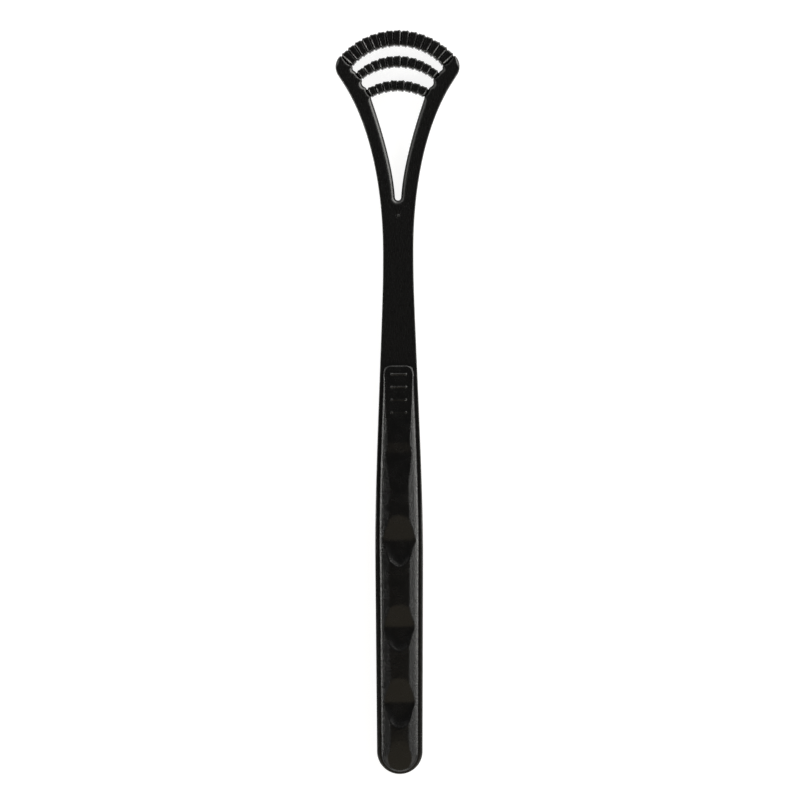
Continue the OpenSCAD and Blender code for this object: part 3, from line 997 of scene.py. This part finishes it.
def padWidths(loop):
    # half width of the pocket at any station, from its outline
    side = sorted((p.y, p.x - pad["gap"]) for p in loop if p.x > 0)

    def halfAt(y):
        if y <= side[0][0]:
            return 0.0
        for (ya, xa), (yb, xb) in zip(side, side[1:]):
            if y <= yb:
                return xa + (xb - xa) * (y - ya) / max(yb - ya, 1e-9)
        return side[-1][1]
    return halfAt


def capsule(x, y, halfX, halfY, radius, rise, base):
    # height of a small raised bead with round ends, or well below the surface beside it
    away = math.hypot(max(abs(x) - halfX, 0), max(abs(y) - halfY, 0))
    if away >= radius:
        return -1.0
    return base + rise - radius + math.sqrt(radius ** 2 - away ** 2)


def capHeight(y, lowY, highY):
    # height of the pad's middle line above the frame before the scoops are cut
    climb = pad["topRise"] + (highY - y) / pad["climb"] * (pad["rise"] - pad["topRise"])
    high = smoothMin(climb, pad["rise"], pad["climbBend"])
    past = max(lowY + pad["fall"] - y, 0)
    return min(high, pad["rise"] - pad["fallRadius"] + math.sqrt(pad["fallRadius"] ** 2 - past ** 2))


def scoopHeight(scoop, x, y, base):
    # the scoop's own surface: two near flat facets that meet in the valley, and a U-shaped end wall
    s = y - scoop["y"]
    bend = scoopShape["valley"] + scoopShape["valleySide"] * min(abs(x) / scoopShape["half"], 1) ** 4
    soft = math.sqrt(s * s + bend * bend) - bend
    floor = base - scoop["depth"]
    if s > 0:
        return floor + soft * scoop["depth"] / scoop["up"]
    if not scoop["square"]:
        return floor + soft * scoop["depth"] / scoop["down"]
    # the end wall rises like a bowl's to a U that is part of a superellipse
    power, half, down = scoop["square"], scoopShape["half"], scoop["down"]
    a, b = abs(x) / half + 1e-6, -s / down + 1e-6
    reach = (a ** power + b ** power) ** (1 / power)
    steep = reach ** (1 - power) * math.hypot(a ** (power - 1) / half, b ** (power - 1) / down)
    inside = min((1 - reach) / steep / scoopShape["wallLength"], 1)
    wall = scoop["depth"] * (1 - inside) ** 2 * smoothStep(-s / scoopShape["wallFade"])
    return floor + soft * scoopShape["floorSlope"] + wall


def padHeight(x, y, edgeAway, lowY, highY):
    # height of the pad above the frame's front at one point
    cap = capHeight(y, lowY, highY)
    slope = math.radians(pad["flankSlope"])
    crown = pad["rise"] - x * x / (2 * pad["crownRadius"])
    flank = pad["flankTop"] + edgeAway * math.tan(slope)
    height = smoothMin(smoothMin(cap, crown, pad["blend"]), flank, pad["blend"])
    for scoop in scoops:
        if abs(y - scoop["y"]) < scoopShape["reach"]:
            cut = scoopHeight(scoop, x, y, capHeight(scoop["y"], lowY, highY))
            height = smoothMin(height, cut, pad["lip"])
    # the round edge is an arc that is tangent to the flank
    r, turn = pad["edge"], math.radians(pad["edgeTurn"])
    arcWidth = r * (math.sin(turn) - math.sin(slope))
    wallTop = pad["flankTop"] + arcWidth * math.tan(slope) - r * (math.cos(slope) - math.cos(turn))
    wallTop = min(wallTop, cap - pad["edgeRoom"])
    if edgeAway < arcWidth:
        arc = math.sqrt(r * r - (r * math.sin(turn) - edgeAway) ** 2) - r * math.cos(turn)
        height = smoothMin(height, wallTop + arc, min(edgeAway, pad["blend"]) + 1e-6)
    for i, (bead, dome) in enumerate(zip(thumbRibs["beads"], thumbRibs["domes"])):
        ribY = thumbRibY(i, highY)
        if abs(y - ribY) < thumbRibs["domeRadius"]:
            level = capHeight(ribY, lowY, highY)
            half = thumbRibs["half"]
            height = max(height, capsule(x, y - ribY, half, 0, thumbRibs["beadRadius"], bead, level),
                         capsule(abs(x) - half, y - ribY, 0, 0, thumbRibs["domeRadius"], dome, level))
    if abs(y - gateDash["y"]) < gateDash["reach"]:
        height = max(height, capsule(x - gateDash["x"], y - gateDash["y"], 0, gateDash["half"],
                                     gateDash["radius"], gateDash["rise"], height))
    return height


def awayFromEdge(x, y, half, lowY, highY, endRadius):
    # distance from a point of the pad's plan to its outline
    if y < lowY + endRadius:
        return max(endRadius - math.hypot(x, y - lowY - endRadius), 0)
    side, top, corner = max(half - abs(x), 0), highY - y, pad["cornerRadius"]
    if side < corner and top < corner:
        return max(corner - math.hypot(corner - side, corner - top), 0)
    return min(side, top)


def padStations(lowY, highY):
    # rows along the pad, closer at both ends and over the small ribs
    count = pad["endRows"]
    ends = [pad["endLength"] * (k / count) ** 2 for k in range(count + 1)]
    rows = [lowY + d for d in ends] + [highY - d for d in ends]
    y = lowY + ends[-1]
    while y < highY - ends[-1]:
        rows.append(y)
        y += pad["rowStep"]
    fine = range(-pad["fineRows"], pad["fineRows"] + 1)
    for i in range(len(thumbRibs["beads"])):
        rows += [thumbRibY(i, highY) + k * pad["fineStep"] for k in fine]
    rows.sort()
    kept = [rows[0]]
    for y in rows[1:]:
        if y - kept[-1] > pad["leastStep"]:
            kept.append(y)
    return kept


def makeGrip(material):
    skin = newSkin()
    pocket = gripPocket(pad["outlineStep"])
    halfAt = padWidths(pocket)
    lowY = min(p.y for p in pocket) + pad["gap"]
    highY = max(p.y for p in pocket) - pad["gap"]
    endRadius = halfAt(lowY + pad["buttReach"])
    rows = []
    count = pad["columns"]
    for y in padStations(lowY, highY):
        half = halfAt(y)
        if y < lowY + endRadius:
            half = math.sqrt(max(endRadius ** 2 - (lowY + endRadius - y) ** 2, 0))
        if y > highY - pad["cornerRadius"]:
            flat = halfAt(highY - pad["cornerRadius"]) - pad["cornerRadius"]
            half = flat + math.sqrt(max(pad["cornerRadius"] ** 2 - (y - highY + pad["cornerRadius"]) ** 2, 0))
        if half < 1e-6:
            skin["points"].append((0, y, frontZ + padHeight(0, y, 0, lowY, highY)))
            rows.append([len(skin["points"]) - 1] * (count + 1))
            continue
        row = []
        for k in range(count + 1):
            x = half * math.sin(math.pi / 2 * (2 * k / count - 1))
            away = awayFromEdge(x, y, half, lowY, highY, endRadius)
            row.append(len(skin["points"]))
            skin["points"].append((x, y, frontZ + padHeight(x, y, away, lowY, highY)))
        rows.append(row)
    for low, high in zip(rows, rows[1:]):
        for k in range(count):
            corners = [low[k], low[k + 1], high[k + 1], high[k]]
            skin["faces"].append(tuple(v for i, v in enumerate(corners) if v != corners[i - 1]))
            skin["normals"].append(None)
    edge = [row[-1] for row in rows] + rows[-1][-2:0:-1] + [row[0] for row in rows[:0:-1]]
    loop = [Vector(skin["points"][v][:2]) for v in edge]
    normals = loopNormals(loop)
    padBottom = frontFloorZ + pad["gap"]
    bottom = addRing(skin, loop, normals, 0, padBottom)
    addUpright(skin, edge, bottom, normals)
    padTop = backFloorZ - pad["gap"]
    studTops, studFeet = windowTubes(skin, pad["gap"], padBottom, padTop, -1)
    addCap(skin, [bottom, *studTops], -1)
    back = smoothLoop(faceLoops("frame", backZ, -1)[1])[::-1]
    backNormals = loopNormals(back)
    high = addRing(skin, back, backNormals, pad["gap"], padTop)
    shoulder = [Vector((p.x - n.x * pad["gap"], p.y - n.y * pad["gap"])) for p, n in zip(back, backNormals)]
    edges = [pad["backEdge"]] * len(back)
    rim, wall = roundEdge(skin, shoulder, backNormals, edges, 0, -1, pad["backSteps"])
    addUpright(skin, high, wall, backNormals)
    addCap(skin, [high, *studFeet], 1)
    addCap(skin, [rim], -1)
    return skinObject(skin, "grip_moulding", material)


gripPiece = makeGrip(gripTpeMaterial())
finishPiece(gripPiece, "grip")
